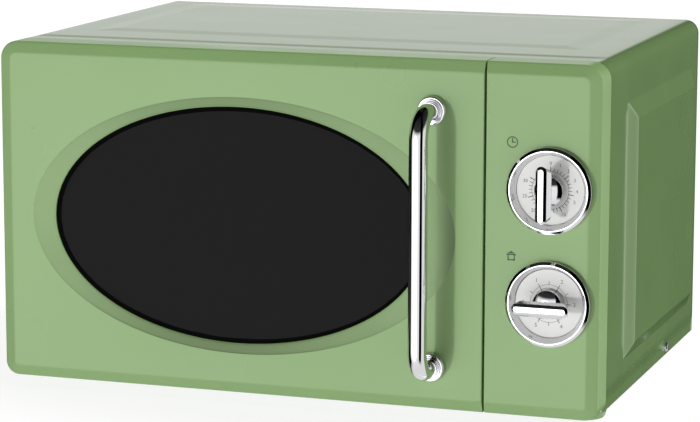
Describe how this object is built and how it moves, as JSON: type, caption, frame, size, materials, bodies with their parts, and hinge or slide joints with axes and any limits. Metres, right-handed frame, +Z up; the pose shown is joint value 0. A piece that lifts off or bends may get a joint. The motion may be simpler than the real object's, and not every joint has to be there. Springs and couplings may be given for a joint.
{
  "type": "microwave oven",
  "caption": "Countertop microwave oven with a side-hinged door, an oval window, a tubular chrome handle, rotary controls and a glass turntable.",
  "frame": {"origin": "middle of the bounding box's base, on the surface that the feet stand on", "axes": "+Z up, the door and controls face -Y, +X towards the controls' side"},
  "size_m": [0.452, 0.356, 0.256],
  "materials": {
    "green_steel": "satin light green paint",
    "green_moulding": "satin light green",
    "zinc_steel": "zinc plated sheet",
    "oven_enamel": "baked grey-white enamel",
    "chrome_trim": "polished",
    "dial_silver": "satin",
    "white_plastic": "matt",
    "black_plastic": "matt",
    "alu_parts": "plain",
    "iron_core": "varnished laminations",
    "copper_coils": "varnished copper wire",
    "dark_glass": "dark tinted",
    "clear_glass": "clear"
  },
  "bodies": {
    "cabinet": {"outer_cover": "green_steel", "base_plate": "zinc_steel", "rear_panel": "zinc_steel", "front_plate": "zinc_steel", "cavity_wrap": "oven_enamel", "cavity_floor": "oven_enamel", "cavity_back": "oven_enamel", "control_panel": "green_moulding", "dial_rings": "chrome_trim", "dial_plates": "dial_silver", "timer_unit": "white_plastic", "power_control": "black_plastic", "hinge_brackets": "zinc_steel", "interlock_bracket": "white_plastic", "interlock_switches": "black_plastic", "waveguide": "zinc_steel", "waveguide_cover": "white_plastic", "magnetron": "zinc_steel", "magnetron_fins": "alu_parts", "magnetron_filter_box": "alu_parts", "transformer_core": "iron_core", "transformer_windings": "copper_coils", "capacitor": "alu_parts", "capacitor_clamp": "zinc_steel", "hv_diode": "black_plastic", "fan_shroud": "black_plastic", "fan_motor": "iron_core", "air_duct": "white_plastic", "lamp_bulb": "clear_glass", "lamp_socket": "white_plastic", "turntable_motor": "zinc_steel", "thermal_cutouts": "white_plastic", "filter_board": "white_plastic", "cord_bush": "black_plastic", "front_feet": "green_moulding", "rear_feet": "black_plastic", "cover_screws": "zinc_steel"},
    "door": {"door_frame": "green_moulding", "door_glass": "dark_glass", "door_screen": "zinc_steel", "choke_cover": "black_plastic", "door_film": "clear_glass", "door_hinge_blocks": "black_plastic", "handle": "chrome_trim", "handle_rosettes": "chrome_trim", "handle_screws": "zinc_steel", "latch_spring": "zinc_steel"},
    "latch": {"latch_hook": "white_plastic"},
    "lever": {"interlock_lever": "white_plastic"},
    "timer": {"timer_knob": "chrome_trim", "timer_shaft": "zinc_steel"},
    "power": {"power_knob": "chrome_trim", "power_shaft": "zinc_steel"},
    "fan": {"fan_blade": "white_plastic"},
    "turntable": {"turntable_coupler": "white_plastic", "turntable_plate": "clear_glass"},
    "ring": {"roller_ring": "white_plastic"},
    "roller_a": {"roller_1": "white_plastic"},
    "roller_b": {"roller_2": "white_plastic"},
    "roller_c": {"roller_3": "white_plastic"}
  },
  "joints": [
    {"name": "door_hinge", "type": "hinge", "parent": "cabinet", "child": "door", "pos_m": [-0.217, -0.119, 0.131], "axis": [0, 0, -1], "range_deg": [0, 95]},
    {"name": "latch_slide", "type": "slide", "parent": "door", "child": "latch", "axis": [0, 0, 1], "range_m": [0, 0.004], "stiffness_N_per_m": 300},
    {"name": "interlock_pivot", "type": "hinge", "parent": "cabinet", "child": "lever", "pos_m": [0.129, -0.086, 0.11], "axis": [-1, 0, 0], "range_deg": [0, 6], "stiffness_Nm_per_rad": 0.02},
    {"name": "timer_turn", "type": "hinge", "parent": "cabinet", "child": "timer", "pos_m": [0.188, -0.139, 0.1675], "axis": [0, 1, 0], "range_deg": [0, 300]},
    {"name": "power_turn", "type": "hinge", "parent": "cabinet", "child": "power", "pos_m": [0.188, -0.139, 0.089], "axis": [0, 1, 0], "range_deg": [0, 180]},
    {"name": "fan_spin", "type": "hinge", "parent": "cabinet", "child": "fan", "pos_m": [0.17, 0.1255, 0.19], "axis": [0, 1, 0], "continuous": true},
    {"name": "turntable_spin", "type": "hinge", "parent": "cabinet", "child": "turntable", "pos_m": [-0.0385, 0.0285, 0.045], "axis": [0, 0, 1], "continuous": true},
    {"name": "ring_spin", "type": "hinge", "parent": "cabinet", "child": "ring", "pos_m": [-0.0385, 0.0285, 0.037], "axis": [0, 0, 1], "continuous": true},
    {"name": "roller_a_spin", "type": "hinge", "parent": "ring", "child": "roller_a", "pos_m": [-0.0385, 0.1265, 0.037], "axis": [0, 1, 0], "continuous": true},
    {"name": "roller_b_spin", "type": "hinge", "parent": "ring", "child": "roller_b", "pos_m": [-0.12337, -0.0205, 0.037], "axis": [-0.866, -0.5, 0], "continuous": true},
    {"name": "roller_c_spin", "type": "hinge", "parent": "ring", "child": "roller_c", "pos_m": [0.04637, -0.0205, 0.037], "axis": [0.866, -0.5, 0], "continuous": true}
  ],
  "couplings": [
    {"joint": "ring_spin", "follows": "turntable_spin", "ratio": 0.5},
    {"joint": "roller_a_spin", "follows": "turntable_spin", "ratio": -6.242},
    {"joint": "roller_b_spin", "follows": "turntable_spin", "ratio": -6.242},
    {"joint": "roller_c_spin", "follows": "turntable_spin", "ratio": -6.242}
  ]
}
